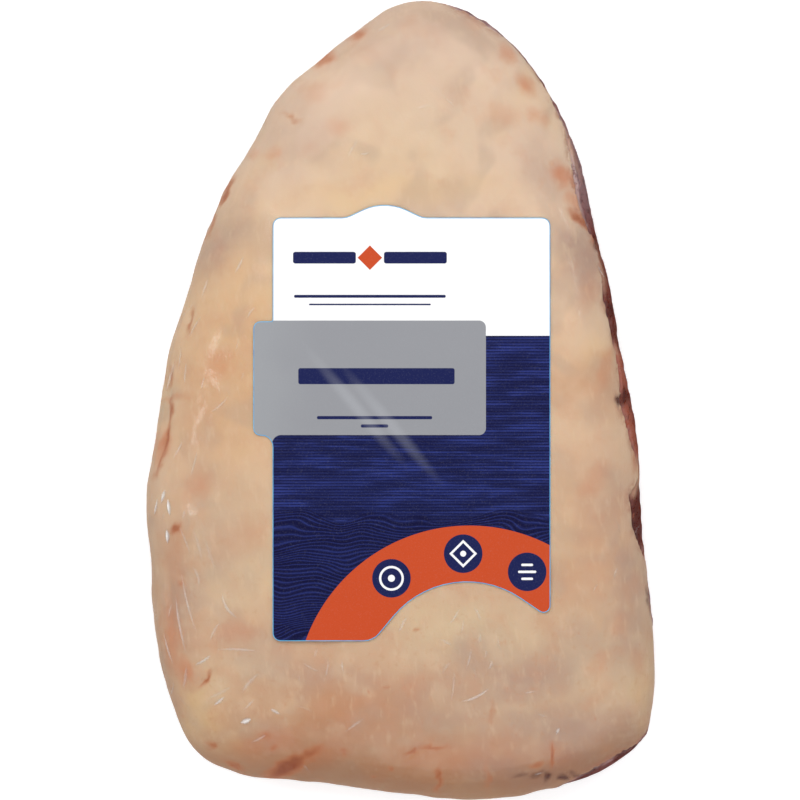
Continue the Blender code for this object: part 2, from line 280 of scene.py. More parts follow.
lean_points, lean_normals = corners(lean)
bundled = along_grain(lean_points)
off_floor = np.clip((lean_points[:, 2] - FLAT_TO) / FLAT_FADE, 0.0, 1.0)
grain_relief = BUNDLE_HEIGHT * swells(bundled, 0.006, 3) + GRAIN_HEIGHT * swells(bundled, 0.0028, 4)
under_fat = near(fat, lean_points, SEAM_REACH)
grain_relief *= off_floor * (1 - under_fat)
set_corners(lean, lean_points + lean_normals * grain_relief[:, None])
blotchy_points = ragged_by(ragged_by(lean_points, 0.014, 0.0022, 51), 0.005, 0.0009, 53)
marked(lean, "mauve", stained(blotchy_points, MAUVE_LEAN, 0.7))
marked(lean, "rust", stained(blotchy_points, RUST_LEAN, 0.7) * near(fat, lean_points, RUST_REACH))
marked(lean, "dark", stained(blotchy_points, DARK_LEAN, 0.6) * near(fat, lean_points, DARK_REACH))
marked(lean, "fatty", stained(blotchy_points, FATTY_LEAN, 0.8) * near(fat, lean_points, FATTY_REACH))
marked(lean, "fat_beside", near(fat, lean_points, RIM_REACH))


class Wire:
    """One output of a material's nodes, so that what feeds a shader can be written as a sum."""

    def __init__(self, tree, socket=None):
        self.tree = tree
        self.socket = socket

    def node(self, kind, settings=None, sockets=None, output=0):
        """Adds a node: its settings first, then a value or a link for each of its sockets."""
        made = self.tree.nodes.new("ShaderNode" + kind)
        for name, value in (settings or {}).items():
            setattr(made, name, value)
        for name, value in (sockets or {}).items():
            if isinstance(value, Wire):
                self.tree.links.new(value.socket, made.inputs[name])
            else:
                made.inputs[name].default_value = value
        return Wire(self.tree, made.outputs[output] if made.outputs else None)

    def beside(self, output):
        """Another output of the node that this wire comes from."""
        return Wire(self.tree, self.socket.node.outputs[output])

    def sum(self, operation, *others):
        return self.node("Math", {"operation": operation}, dict(enumerate((self, *others))))

    def __add__(self, other):
        return self.sum("ADD", other)

    def __sub__(self, other):
        return self.sum("SUBTRACT", other)

    def __rsub__(self, other):
        return self.node("Math", {"operation": "SUBTRACT"}, {0: other, 1: self})

    def __mul__(self, other):
        return self.sum("MULTIPLY", other)

    __radd__ = __add__
    __rmul__ = __mul__

    def most(self, other):
        return self.sum("MAXIMUM", other)

    def least(self, other):
        return self.sum("MINIMUM", other)

    def eased(self, low, high):
        """0 at low and 1 at high, with a soft start and end. Low may be the larger."""
        sockets = {"Value": self, "From Min": low, "From Max": high}
        return self.node("MapRange", {"interpolation_type": "SMOOTHSTEP"}, sockets)

    def over(self, colour, share):
        """This colour with another laid over it, as strongly as the share says."""
        return self.node("Mix", {"data_type": "RGBA"}, {0: share, 6: self, 7: colour}, output=2)

    def noise(self, size, detail=2.0, rough=0.5, warp=0.0, output=0):
        """Cloudy noise at this place, of lumps about this size, mostly from 0.3 to 0.7."""
        sockets = {
            "Vector": self,
            "Scale": 1 / size,
            "Detail": detail,
            "Roughness": rough,
            "Distortion": warp,
        }
        return self.node("TexNoise", {}, sockets, output)

    def moved(self, other, share):
        """This place moved by a vector, with 0.5 as no move, up to share each way."""
        centred = self.node("VectorMath", {"operation": "SUBTRACT"}, {0: other, 1: (0.5, 0.5, 0.5)})
        sockets = {0: centred, 1: (2 * share,) * 3, 2: self}
        return self.node("VectorMath", {"operation": "MULTIPLY_ADD"}, sockets)

    def fitted(self, place, size, turn=(0.0, 0.0, 0.0)):
        """This place seen from another, turned in radians, with lengths there in units of size."""
        sockets = {"Vector": self, "Location": place, "Rotation": turn, "Scale": size}
        return self.node("Mapping", {"vector_type": "TEXTURE"}, sockets)

    def value(self, name):
        """What the mesh's corners hold under this name."""
        return self.node("Attribute", {"attribute_name": name}, {}, output=2)

    def length(self):
        return self.node("VectorMath", {"operation": "LENGTH"}, {0: self}, output=1)


def new_finish(name):
    """A new material, with the wire that all its nodes start from and the place seen, in millimetres."""
    material = bpy.data.materials.new(name)
    material.use_nodes = True
    material.node_tree.nodes.clear()
    start = Wire(material.node_tree)
    seen = start.node("TexCoord", output=3)
    place = start.node("VectorMath", {"operation": "SCALE"}, {0: seen, "Scale": 1000.0})
    return material, start, place


def shown_by(shader):
    shader.node("OutputMaterial", {}, {"Surface": shader})


def plain(start, colour):
    """A wire that carries one colour, for others to be laid over."""
    wire = start.node("RGB", {}, {})
    wire.socket.default_value = colour
    return wire


LEAN_RED = screen(112, 42, 32)
LEAN_PURPLE = screen(118, 66, 70)
LEAN_MAUVE = screen(138, 104, 106)
LEAN_RUST = screen(168, 90, 68)
LEAN_DARK = screen(72, 16, 6)
BETWEEN_BUNDLES = screen(62, 14, 10)
PALE_STRANDS = screen(170, 92, 66)
MEMBRANE = screen(196, 160, 160)
PALE_RIM = screen(214, 184, 180)
SKIN_OF_FAT = screen(204, 160, 132)

lean_finish, start, place = new_finish("lean_finish")
grain_turn = math.atan2(GRAIN_WAY.y, GRAIN_WAY.x)
strands = place.fitted((0, 0, 0), (14.0, 1.0, 1.0), (0, 0, grain_turn))
fine_strands = strands.noise(0.9, 3.0, 0.6)
bundles = strands.noise(3.5, 2.0, 0.5)
flesh = place.noise(26.0, 2.0, 0.5)
colour = plain(start, LEAN_RED)
colour = colour.over(LEAN_PURPLE, flesh.eased(0.52, 0.68) * 0.30)
colour = colour.over(LEAN_MAUVE, start.value("mauve") * (0.40 + flesh))
colour = colour.over(LEAN_RUST, start.value("rust") * (0.40 + flesh))
colour = colour.over(LEAN_DARK, start.value("dark") * (0.50 + flesh))
colour = colour.over(BETWEEN_BUNDLES, bundles.eased(0.50, 0.30) * 0.60)
colour = colour.over(PALE_STRANDS, fine_strands.eased(0.52, 0.74) * (0.35 + start.value("dark") * 0.35))
membrane = place.noise(9.0, 3.0, 0.6, 0.6).eased(0.60, 0.72) * fine_strands.eased(0.38, 0.60)
not_dark = 1 - start.value("dark")
colour = colour.over(MEMBRANE, membrane * (0.14 + start.value("mauve") * 0.40) * not_dark)
rim = start.value("fat_beside").eased(0.35, 0.98) * place.noise(2.6, 2.0, 0.6).eased(0.30, 0.48)
colour = colour.over(PALE_RIM, rim * (0.14 + start.value("mauve") * 0.66) * not_dark)
colour = colour.over(SKIN_OF_FAT, start.value("fatty") * (0.55 + flesh * 0.7))
raised = fine_strands + bundles * 0.6
bump = start.node("Bump", {}, {"Height": raised, "Strength": 0.35, "Distance": 0.0006})
lean_shader = start.node(
    "BsdfPrincipled",
    {},
    {
        "Base Color": colour,
        "Roughness": 0.42 - fine_strands * 0.12,
        "Normal": bump,
        "Subsurface Weight": 0.25,
        "Subsurface Radius": (1.0, 0.25, 0.15),
        "Subsurface Scale": 0.002,
        "Specular IOR Level": 0.0,
    },
)
shown_by(lean_shader)
lean.data.materials.append(lean_finish)
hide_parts("lean_meat")
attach(lean, "root")

# The fat cap. A layer of firm beef fat about a centimetre deep over the whole top, the left side and the
# base end. It is cream at the tip and tanner towards the base, with pink and red-brown stains where blood
# lies under the film, and the knife left its edge uneven along the right side.
FAT_SWELL = 0.00055
FAT_LUMP = 0.00018
FAT_EDGE_LUMP = 0.0003
FLANK_FROM, FLANK_FADE, FLANK_SHARE = 0.80, 0.75, 0.35  # painted shade on the sides, by how far up the surface faces
BASE_GAIN, BASE_FROM = 1.6, 0.22  # painted shade at the base end, by how far it faces the base end
LEFT_PALER = (1.3, 0.100, 0.5)  # how the painted shade at the base end fades to the left: its share at the middle line, the metres it fades over, its least share
# How far the fat is uneven, closed and smeared with red beside the lean
EDGE_REACH, CLOSED_REACH, SMEAR_REACH = 3.0 * MM, 1.5 * MM, 4.0 * MM
UNDER_FACING = -0.35
GROOVE_FADE = 12 * MM
# Grooves pressed into the fat under folds of the film, in mm: across, along, length, width, turn in
# degrees, depth
GROOVES = (
    (-87.5, 0.5, 24, 3.0, 88, 0.8),
    (-88.8, -16.0, 16, 3.2, 76, 0.8),
    (-67.0, 71.0, 14, 2.6, 62, 0.5),
    (-79.0, 30.0, 12, 2.6, 78, 0.5),
    (-73.0, -104.5, 10, 2.4, 42, 0.6),
    (-86.0, -78.0, 26, 3.2, 95, 0.5),
    (-40.0, -136.0, 16, 3.6, 26, 0.6),
    (5.0, -131.5, 10, 2.6, 34, 0.5),
    (67.5, 66.0, 12, 3.0, -42, 0.6),
    (85.0, 36.0, 14, 3.4, -74, 0.6),
)

fat_points, fat_normals = corners(fat)
beside_lean = near(lean, fat_points, EDGE_REACH)
fat_relief = FAT_SWELL * swells(fat_points, 0.040, 11) + FAT_LUMP * swells(fat_points, 0.012, 12)
fat_relief += FAT_EDGE_LUMP * swells(fat_points, 0.008, 13) * beside_lean
for across, along, length, width, turn, depth in GROOVES:
    turn = math.radians(turn)
    from_x, from_y = fat_points[:, 0] - across * MM, fat_points[:, 1] - along * MM
    lengthwise = from_x * math.cos(turn) + from_y * math.sin(turn)
    crosswise = from_y * math.cos(turn) - from_x * math.sin(turn)
    hollow = np.exp(-((lengthwise / (length * MM / 2)) ** 4) - (crosswise / (width * MM / 2)) ** 2)
    fat_relief -= depth * MM * hollow * np.clip(fat_points[:, 2] / GROOVE_FADE, 0, 1)
seam_side = (fat_normals[:, 2] < UNDER_FACING) * near(lean, fat_points, CLOSED_REACH)
fat_relief *= 1 - seam_side
set_corners(fat, fat_points + fat_normals * fat_relief[:, None])
marked(fat, "lean_beside", near(lean, fat_points, SMEAR_REACH))
# Painted shade: how strongly the fat is darkened where its surface faces sideways or towards the base end
sides_facing = np.clip((FLANK_FROM - fat_normals[:, 2]) / FLANK_FADE, 0.0, 1.0)
base_facing = np.clip(-BASE_GAIN * fat_normals[:, 1] - BASE_FROM, 0.0, 1.0)
base_facing *= np.clip(LEFT_PALER[0] + fat_points[:, 0] / LEFT_PALER[1], LEFT_PALER[2], 1.0)
marked(fat, "flank", np.clip(FLANK_SHARE * sides_facing + base_facing, 0.0, 1.0))

# Stains in the fat, in mm: across, along, length, width, turn in degrees, strength
PALE_STAINS = (
    (-16.0, 136.5, 7, 5, 30, 0.5),
    (-28.3, 127.5, 7, 5, 30, 0.5),
    (-31.5, 116.0, 9, 6, 20, 0.35),
    (-23.5, 102.5, 8, 6, 0, 0.35),
    (-54.5, 92.5, 5, 4, 60, 0.45),
    (-47.5, 92.5, 5, 4, 0, 0.40),
    (40.5, 129.5, 8, 5, -40, 0.75),
    (47.5, 117.8, 9, 5, -45, 0.65),
    (50.0, 106.0, 6, 5, 90, 0.40),
    (53.5, 105.0, 6, 4, 90, 0.40),
    (61.5, 84.0, 10, 6, -50, 0.95),
    (66.5, 74.0, 9, 6, -60, 0.85),
    (38.5, 107.0, 12, 8, 0, 0.30),
    (-68.0, 13.0, 12, 9, 40, 0.45),
    (-76.0, -32.0, 12, 8, 60, 0.45),
    (-60.0, -52.0, 22, 12, 20, 0.30),
    (-89.2, -17.0, 12, 5, 72, 0.95),
    (-84.0, 0.8, 9, 2, 8, 0.50),
    (-84.0, -60.0, 22, 6, 85, 0.30),
    (-85.5, -88.0, 26, 6, 95, 0.70),
    (-81.0, -102.0, 12, 5, 110, 0.70),
    (-60.0, -86.0, 14, 7, 10, 0.35),
    (-50.0, -129.0, 26, 10, 12, 0.55),
    (-29.0, -134.0, 18, 10, 30, 0.55),
    (20.0, -133.0, 44, 12, 5, 0.40),
    (56.0, -133.0, 22, 10, -12, 0.35),
    (81.5, -84.5, 9, 6, 90, 0.35),
    (73.0, -99.5, 9, 6, 80, 0.28),
    (88.0, -97.0, 8, 5, 90, 0.28),
    (72.0, -30.0, 12, 7, 60, 0.30),
    (77.0, 12.0, 12, 6, 85, 0.45),
    (71.0, 40.0, 12, 8, 60, 0.30),
)
DEEP_STAINS = (
    (-86.9, 8.0, 7, 1.8, 80, 0.55),
    (-86.2, -4.5, 13, 1.7, 82, 0.70),
    (-87.9, -14.5, 13, 1.9, 78, 0.80),
    (-90.0, -23.5, 12, 1.9, 68, 0.65),
    (-65.5, 77.5, 12, 1.8, 59, 0.80),
    (-70.5, 66.0, 13, 2.0, 71, 0.60),
    (-79.0, 29.5, 10, 2.0, 78, 0.60),
    (-28.9, 127.9, 6.0, 4.4, 35, 0.60),
    (-15.5, 136.8, 6.0, 3.0, 30, 0.55),
    (-40.5, 105.5, 8.0, 1.8, -35, 0.45),
    (-83.5, -47.8, 4.0, 3.2, 60, 0.85),
    (-82.0, -69.0, 4.0, 3.0, 60, 0.50),
    (-73.0, -104.0, 7.0, 1.8, 42, 0.80),
    (-71.5, -128.7, 3.0, 2.4, 0, 0.65),
    (-47.5, -131.0, 4.0, 3.0, 20, 0.60),
    (-51.0, -125.8, 5.0, 4.0, 30, 0.55),
    (-62.0, -136.5, 8.0, 2.4, -30, 0.70),
    (-42.5, -137.6, 17.0, 5.6, 30, 1.10),
    (-33.5, -132.5, 11.0, 4.2, 25, 0.75),
    (-21.0, -131.6, 3.0, 2.6, 0, 0.55),
    (-4.6, -107.2, 2.8, 2.2, 0, 0.45),
    (-3.5, -138.0, 2.6, 2.0, 0, 0.65),
    (-10.0, -140.6, 2.4, 1.8, 0, 0.55),
    (6.2, -85.9, 1.8, 1.6, 0, 0.60),
    (4.0, -131.8, 7.0, 1.6, 37, 0.75),
    (12.0, -129.6, 12.0, 1.6, 4, 0.65),
    (14.2, -141.5, 10.0, 1.8, 90, 0.80),
    (34.0, -116.2, 8.0, 2.2, 90, 0.40),
    (33.0, -141.0, 12.0, 2.0, 95, 0.45),
    (56.8, -132.8, 8.0, 2.0, 90, 0.90),
    (50.5, -136.6, 5.0, 1.8, 10, 0.60),
    (67.0, 67.0, 11.0, 2.6, -40, 0.85),
    (88.9, -19.0, 15.0, 4.0, 84, 0.60),
    (72.5, 60.5, 7.0, 3.0, -60, 0.85),
)
DARK_STAINS = (
    (55.4, -140.6, 3.4, 2.6, 40, 0.95),
    (60.6, -142.0, 4.4, 3.2, 0, 0.95),
    (66.0, -139.3, 5.0, 1.6, -5, 0.60),
    (45.0, -140.6, 6.0, 1.8, 0, 0.45),
    (51.5, -140.0, 4.0, 1.8, 20, 0.50),
    (93.2, -74.5, 10.0, 1.8, 96, 0.70),
    (82.4, -0.6, 3.6, 2.4, 80, 0.95),
    (73.6, 58.0, 5.0, 2.8, -65, 0.90),
    (78.0, 38.0, 5.0, 2.6, -75, 0.75),
)
CREAM_CLOUDS = (
    (26.0, -86.0, 58, 26, 0, 0.90),
    (74.0, -98.0, 36, 30, 0, 0.90),
    (-62.0, -56.0, 34, 40, 0, 0.80),
    (-58.0, -104.0, 34, 18, 0, 0.60),
    (-50.0, -120.0, 22, 10, 10, 0.55),
    (10.0, 98.0, 40, 30, 0, 0.40),
    (48.0, -112.0, 44, 16, 0, 0.45),
    (-66.0, 64.0, 12, 16, 60, 0.50),
)
TAN_CLOUDS = (
    (-20.0, -118.0, 56, 22, 0, 0.90),
    (-73.0, 0.0, 26, 56, 0, 0.55),
    (-62.0, 14.0, 34, 80, 0, 0.45),
    (20.0, -139.0, 150, 14, 0, 0.80),
    (-36.0, -133.0, 52, 24, -4, 0.75),
    (-46.0, -124.0, 40, 14, 4, 0.60),
    (4.0, -134.0, 44, 20, 6, 0.70),
    (-54.0, -112.0, 20, 12, 20, 0.40),
    (70.0, -50.0, 30, 60, 0, 0.35),
    (72.0, 6.0, 22, 70, 84, 0.60),
    (-84.0, -60.0, 12, 50, 0, 0.30),
    (-30.0, 140.0, 60, 14, 38, 0.45),
)
MAUVE_CLOUDS = (
    (66.0, 52.0, 34, 14, -76, 0.95),
    (56.0, 84.0, 34, 12, -62, 0.50),
    (60.0, -124.0, 52, 20, 0, 0.70),
    (56.0, -139.0, 46, 12, 4, 0.95),
    (48.0, -104.0, 50, 22, 20, 0.65),
    (18.0, -116.0, 50, 20, 0, 0.50),
    (84.0, -88.0, 30, 16, 80, 0.55),
    (-66.0, -54.0, 26, 40, 0, 0.35),
    (0.0, 138.0, 60, 22, 0, 0.35),
    (32.0, -99.0, 30, 20, 0, 0.55),
    (86.0, -64.0, 26, 12, 90, 0.70),
    (80.0, -36.0, 30, 18, 90, 0.40),
    (-38.0, 96.0, 34, 28, 0, 0.40),
    (-68.0, 60.0, 34, 16, 62, 0.60),
    (18.0, 140.0, 46, 12, -16, 0.45),
    (-30.0, -104.0, 40, 12, 0, 0.45),
    (-82.0, -72.0, 30, 10, 92, 0.45),
    (84.0, -128.0, 22, 14, -40, 0.60),
)
YELLOW_STAINS = (
    (-75.0, -118.0, 26, 14, 60, 0.70),
    (-60.0, -128.0, 24, 12, 10, 0.50),
    (-5.0, 78.0, 70, 14, 4, 0.65),
    (-10.0, 90.0, 40, 26, 0, 0.40),
    (-60.0, 24.0, 40, 96, 0, 0.60),
    (90.0, -108.0, 10, 34, 0, 0.70),
    (35.0, -150.0, 40, 12, 0, 0.35),
    (66.0, 52.0, 14, 10, 0, 0.45),
    (22.0, -84.0, 26, 16, 0, 0.30),
)

ragged_points = ragged_by(ragged_by(fat_points, 0.010, 0.0009, 41), 0.0036, 0.0006, 43)
cloudy_points = ragged_by(ragged_points, 0.024, 0.0035, 45)
marked(fat, "cream_cloud", stained(cloudy_points, CREAM_CLOUDS, 0.95))
marked(fat, "tan_cloud", stained(cloudy_points, TAN_CLOUDS, 0.95))
marked(fat, "mauve_cloud", stained(cloudy_points, MAUVE_CLOUDS, 0.95))
marked(fat, "yellow_stain", stained(cloudy_points, YELLOW_STAINS, 0.9))
marked(fat, "pale_stain", stained(ragged_points, PALE_STAINS, 0.8))
marked(fat, "deep_stain", stained(ragged_points, DEEP_STAINS, 0.98))
marked(fat, "dark_stain", stained(ragged_points, DARK_STAINS, 0.6))

FAT_MIDDLE = screen(224, 193, 163)
FAT_BASE_END = screen(203, 166, 137)
FAT_TIP = screen(220, 193, 171)
FAT_WARM = screen(230, 198, 150)
FAT_YELLOW = screen(228, 192, 138)
FAT_CREAM = screen(212, 187, 156)
FAT_TAN = screen(190, 137, 102)
FAT_MAUVE = screen(173, 143, 130)
FAT_PINK = screen(200, 150, 120)
FAT_PALE = screen(224, 198, 168)
FAT_PEACH = screen(210, 160, 130)
FAT_GREY = screen(184, 158, 140)
FAT_MOTTLE = screen(194, 144, 110)
FAT_THREADS = screen(196, 124, 90)
# painted shade for the sides and the base end
FAT_FLANK_SHADE = screen(152, 106, 76)
STAIN_PALE = screen(204, 132, 96)
STAIN_EDGE = screen(186, 112, 74)
STAIN_CORE = screen(144, 76, 52)
STAIN_DARK = screen(82, 40, 36)
SMEAR = screen(166, 104, 82)

fat_finish, start, place = new_finish("fat_finish")
ragged = place.moved(place.noise(5.0, 3.0, 0.6, output=1), 3.2)
x_y_z = start.node("SeparateXYZ", {}, {0: place})
along = x_y_z.beside(1)
cloud = place.noise(34.0, 2.0, 0.5)
patch = ragged.noise(11.0, 3.0, 0.55)
mottle = place.noise(2.6, 3.0, 0.6)
streaks = place.fitted((0, 0, 0), (1.0, 3.4, 1.0), (0, 0, 0.1))
threads = streaks.noise(1.3, 3.0, 0.65)
colour = plain(start, FAT_MIDDLE)
base_end = (along + cloud * 60.0).eased(60.0, -90.0)
colour = colour.over(FAT_BASE_END, base_end)
colour = colour.over(FAT_TIP, (along + cloud * 50.0).eased(50.0, 120.0) * 0.8)
colour = colour.over(FAT_WARM, cloud.eased(0.52, 0.70) * 0.30)
colour = colour.over(FAT_YELLOW, start.value("yellow_stain") * 0.70)
colour = colour.over(FAT_CREAM, start.value("cream_cloud") * (0.45 + patch))
colour = colour.over(FAT_TAN, start.value("tan_cloud") * (0.40 + patch))
colour = colour.over(FAT_MAUVE, start.value("mauve_cloud") * (0.40 + patch))
blotch = place.noise(9.0, 1.0, 0.4)
colour = colour.over(FAT_PINK, blotch.eased(0.48, 0.80) * (0.10 + base_end * 0.30))
colour = colour.over(FAT_PALE, blotch.eased(0.50, 0.22) * (0.16 + base_end * 0.12))
colour = colour.over(FAT_PEACH, patch.eased(0.50, 0.76) * 0.28)
colour = colour.over(FAT_GREY, place.noise(17.0, 1.0, 0.5, 0.4).eased(0.50, 0.70) * 0.35)
colour = colour.over(FAT_PALE, streaks.noise(2.4, 2.0, 0.6).eased(0.52, 0.76) * 0.24)
colour = colour.over(STAIN_PALE, start.value("pale_stain") * (0.35 + patch * 0.9))
colour = colour.over(FAT_MOTTLE, mottle.eased(0.46, 0.24) * base_end * 0.30)
colour = colour.over(FAT_THREADS, threads.eased(0.60, 0.76) * patch.eased(0.48, 0.62) * base_end * 0.40)
# Painted shade: the fat is darkened where it faces away from the top, more so towards the base end
colour = colour.over(FAT_FLANK_SHADE, start.value("flank") * (0.25 + base_end * 0.45))
smear = start.value("lean_beside").eased(0.15, 0.95) * ragged.noise(6.0, 3.0, 0.6).eased(0.42, 0.60)
colour = colour.over(SMEAR, smear * 0.60)
blood = start.value("deep_stain")
colour = colour.over(STAIN_EDGE, blood.eased(0.0, 0.75) * 0.75)
colour = colour.over(STAIN_CORE, blood.eased(0.35, 1.25) * (0.45 + mottle))
colour = colour.over(STAIN_DARK, start.value("dark_stain") * (0.60 + mottle * 0.7))
relief = patch * 0.6 + mottle * 0.35 + threads * 0.15
bump = start.node("Bump", {}, {"Height": relief, "Strength": 0.25, "Distance": 0.0008})
fat_shader = start.node(
    "BsdfPrincipled",
    {},
    {
        "Base Color": colour,
        "Roughness": 0.40 + mottle * 0.15,
        "Normal": bump,
        "Subsurface Weight": 0.30,
        "Subsurface Radius": (1.0, 0.55, 0.35),
        "Subsurface Scale": 0.0035,
        "Specular IOR Level": 0.02,
    },
)
shown_by(fat_shader)
fat.data.materials.append(fat_finish)
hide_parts("fat_cap")
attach(fat, "root")

# The film. Clear shrink film under a tenth of a millimetre thick, drawn down by vacuum and heat until it
# touches the meat all over. Here it is one closed skin round both solids, just clear of them.
FILM_CELL = 0.0014
FILM_SMOOTHING = 14
FILM_CLEARANCE = 0.00020
FILM_RIPPLE = 0.00010
FILM_FLOOR = 0.02 * MM
FILM_IOR = 1.46
FILM_SHINE, FILM_SHINE_MOST = 0.35, 0.014


def tree_of(*pieces):
    """A search tree of the pieces' triangles."""
    points, triangles = [], []
    for piece in pieces:
        first = len(points)
        piece.data.calc_loop_triangles()
        points += [corner.co.copy() for corner in piece.data.vertices]
        triangles += [[first + i for i in triangle.vertices] for triangle in piece.data.loop_triangles]
    return BVHTree.FromPolygons(points, triangles)


film = cut_finer("film", welded_copy("lean_meat", "fat_cap"), FILM_CELL, FILM_SMOOTHING)
film_points, film_normals = corners(film)
film_ripple = np.abs(swells(film_points * np.array([1.0, 0.45, 1.0]), 0.007, 21)) * FILM_RIPPLE
film_points += film_normals * film_ripple[:, None]
food = tree_of(fat, lean)
for i, point in enumerate(film_points):
    nearest, normal, _, _ = food.find_nearest(point)
    outside = (Vector(point) - nearest).dot(normal)
    if outside < FILM_CLEARANCE:
        film_points[i] = nearest + normal * FILM_CLEARANCE
film_points[:, 2] = np.maximum(film_points[:, 2], FILM_FLOOR)
set_corners(film, film_points)

film_finish, start, place = new_finish("film_finish")
drawn = place.fitted((0, 0, 0), (1.0, 2.6, 1.0), (0, 0, 0.25)).noise(4.5, 3.0, 0.55, 0.5)
slack = place.noise(1.3, 2.0, 0.5, 0.8)
bump = start.node("Bump", {}, {"Height": drawn + slack * 0.25, "Strength": 0.30, "Distance": 0.0006})
sheen = start.node(
    "BsdfPrincipled",
    {},
    {"Base Color": (1.0, 1.0, 1.0, 1.0), "Metallic": 1.0, "Roughness": 0.17, "Normal": bump},
)
clear = start.node("BsdfTransparent", {}, {"Color": (0.985, 0.985, 0.98, 1.0)})
mirror = start.node("Fresnel", {}, {"IOR": FILM_IOR, "Normal": bump})
shine = (mirror * FILM_SHINE).least(FILM_SHINE_MOST)
film_shader = start.node("MixShader", {}, {0: shine, 1: clear, 2: sheen})
shown_by(film_shader)
film.data.materials.append(film_finish)
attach(film, "root")

# The film's creases. Where the film has gathered it lies in fine raised folds, long ones down the left side
# and short crinkles that shine pale near the base end and round the flanks. Each is a thin ridge of the same
# film that fades out at both ends. The white towards the top of each ridge is a painted highlight for its
# glints.
FOLD_STEP = 0.0012
FOLDS_APART = 0.0020
# Folds seen from above, in mm: across, along, turn in degrees, length, bend in degrees, width, height
TOP_FOLDS = (
    (-73.5, -97.5, 30, 7, 20, 0.8, 0.36),
    (-88.6, -36.0, 74, 5, 8, 1.1, 0.50),
    (-91.2, -39.5, 78, 6, 4, 0.9, 0.46),
    (-86.6, -39.5, 98, 6, -10, 1.1, 0.56),
    (-87.0, -51.0, 92, 5, 6, 1.3, 0.56),
    (-86.0, 8.6, 74, 12, 6, 1.2, 0.30),
    (-60.0, 50.5, 62, 7, 10, 0.7, 0.30),
    (-62.6, 43.5, 66, 6, 8, 0.7, 0.30),
    (-73.0, 42.0, 70, 7, 4, 0.6, 0.30),
    (-80.3, 10.5, 84, 8, 4, 0.6, 0.30),
    (-67.3, -2.0, 40, 9, 20, 0.6, 0.28),
    (-83.0, -18.8, 60, 7, 14, 0.6, 0.30),
    (-77.0, -24.0, 75, 10, 10, 0.5, 0.25),
    (-64.5, -78.0, -62, 11, 55, 0.7, 0.32),
    (-78.6, -90.5, -68, 14, 12, 0.9, 0.42),
    (-87.0, -93.0, -74, 12, 8, 0.7, 0.35),
    (-82.5, -84.0, -80, 22, 10, 0.7, 0.35),
    (-79.5, -76.0, -76, 24, 14, 0.6, 0.30),
    (-65.0, -90.4, -8, 20, 14, 0.7, 0.32),
    (-60.0, -93.2, -2, 16, -12, 0.6, 0.28),
    (-68.5, -95.5, -40, 10, 20, 0.6, 0.26),
    (-67.6, -112.7, 38, 5, 10, 0.8, 0.40),
    (-57.0, -119.8, 20, 4, 10, 1.2, 0.55),
    (-46.0, -116.8, -30, 4, 0, 0.8, 0.40),
    (-56.0, -113.5, 44, 6, 10, 0.6, 0.26),
    (1.2, -83.5, 62, 6, 10, 0.7, 0.30),
    (20.5, -81.0, 56, 7, 16, 0.6, 0.28),
    (18.0, -85.5, 38, 6, 10, 0.5, 0.26),
    (23.5, -84.5, 80, 5, 10, 0.5, 0.26),
    (26.0, -96.5, 76, 9, 12, 0.5, 0.26),
    (22.0, -99.0, 52, 8, -14, 0.5, 0.24),
    (20.0, -107.0, 84, 12, 16, 0.5, 0.24),
    (28.5, -111.0, 24, 12, 36, 0.7, 0.34),
    (19.5, -113.2, 52, 5, 8, 0.7, 0.34),
    (-27.0, -99.5, 80, 8, 24, 0.5, 0.24),
    (-30.0, -104.5, 24, 8, 20, 0.5, 0.24),
    (-33.5, -100.0, -30, 7, 20, 0.5, 0.22),
    (59.2, -123.4, 60, 2.5, 0, 0.9, 0.40),
    (75.2, 48.0, -60, 5, 10, 0.7, 0.35),
)
# Fields of small folds: across, along and radius in mm, how many, mean turn and spread in degrees, length
# and width in mm
FOLD_FIELDS = (
    (-80.0, -72.0, 20.0, 18, 100, 22, 9.0, 0.60),
    (-72.0, -98.0, 20.0, 16, 70, 50, 8.0, 0.65),
    (-76.0, 20.0, 24.0, 12, 74, 22, 7.0, 0.45),
    (-29.0, -102.0, 9.0, 7, 60, 70, 4.0, 0.40),
    (24.0, -92.0, 14.0, 16, 70, 50, 4.0, 0.55),
    (-88.0, -42.0, 8.0, 7, 85, 20, 4.0, 0.50),
    (60.0, -120.0, 26.0, 4, 20, 60, 5.0, 0.40),
    (-40.0, -125.0, 24.0, 5, 20, 50, 6.0, 0.40),
    (78.0, -60.0, 16.0, 5, 80, 30, 6.0, 0.40),
    (0.0, 110.0, 30.0, 4, 10, 70, 6.0, 0.38),
)
# Small folds round the flanks, each laid from the sides towards a line through this point
FLANK_FOLDS = 20
FLANK_STEPS = 16
FLANK_MIDDLE = (0.0, -0.0118)
FOLD_WIDER, FOLD_LOWER = 2.3, 0.8  # what the rows' widths and heights are multiplied by
FOLD_SHINE = 1.7  # the higher a fold, the stronger its painted highlight
# A fold's cross-section: how far to the side, in half widths, and how far up, in heights
FOLD_PROFILE = ((-1.0, -0.06), (-0.45, 0.55), (0.0, 1.0), (0.45, 0.55), (1.0, -0.06))
DROP_FROM = 0.08
DOWN = Vector((0, 0, -1))

film_tree = tree_of(film)
fold_draw = np.random.default_rng(77)
fold_mesh = bmesh.new()
painted_glint_layer = fold_mesh.verts.layers.float.new("painted_glint_share")


def walk(x, y, turn, length, bend):
    """Points in plan along an arc through the middle point, by how far it turns from end to end."""
    steps = max(3, round(length / (FOLD_STEP / MM)))
    shares = np.linspace(-0.5, 0.5, steps + 1)
    headings = np.radians(turn + bend * shares)
    stride = length / steps
    path = np.cumsum(np.stack([np.cos(headings), np.sin(headings)], axis=1) * stride, axis=0)
    return path - path[len(path) // 2] + np.array([x, y])


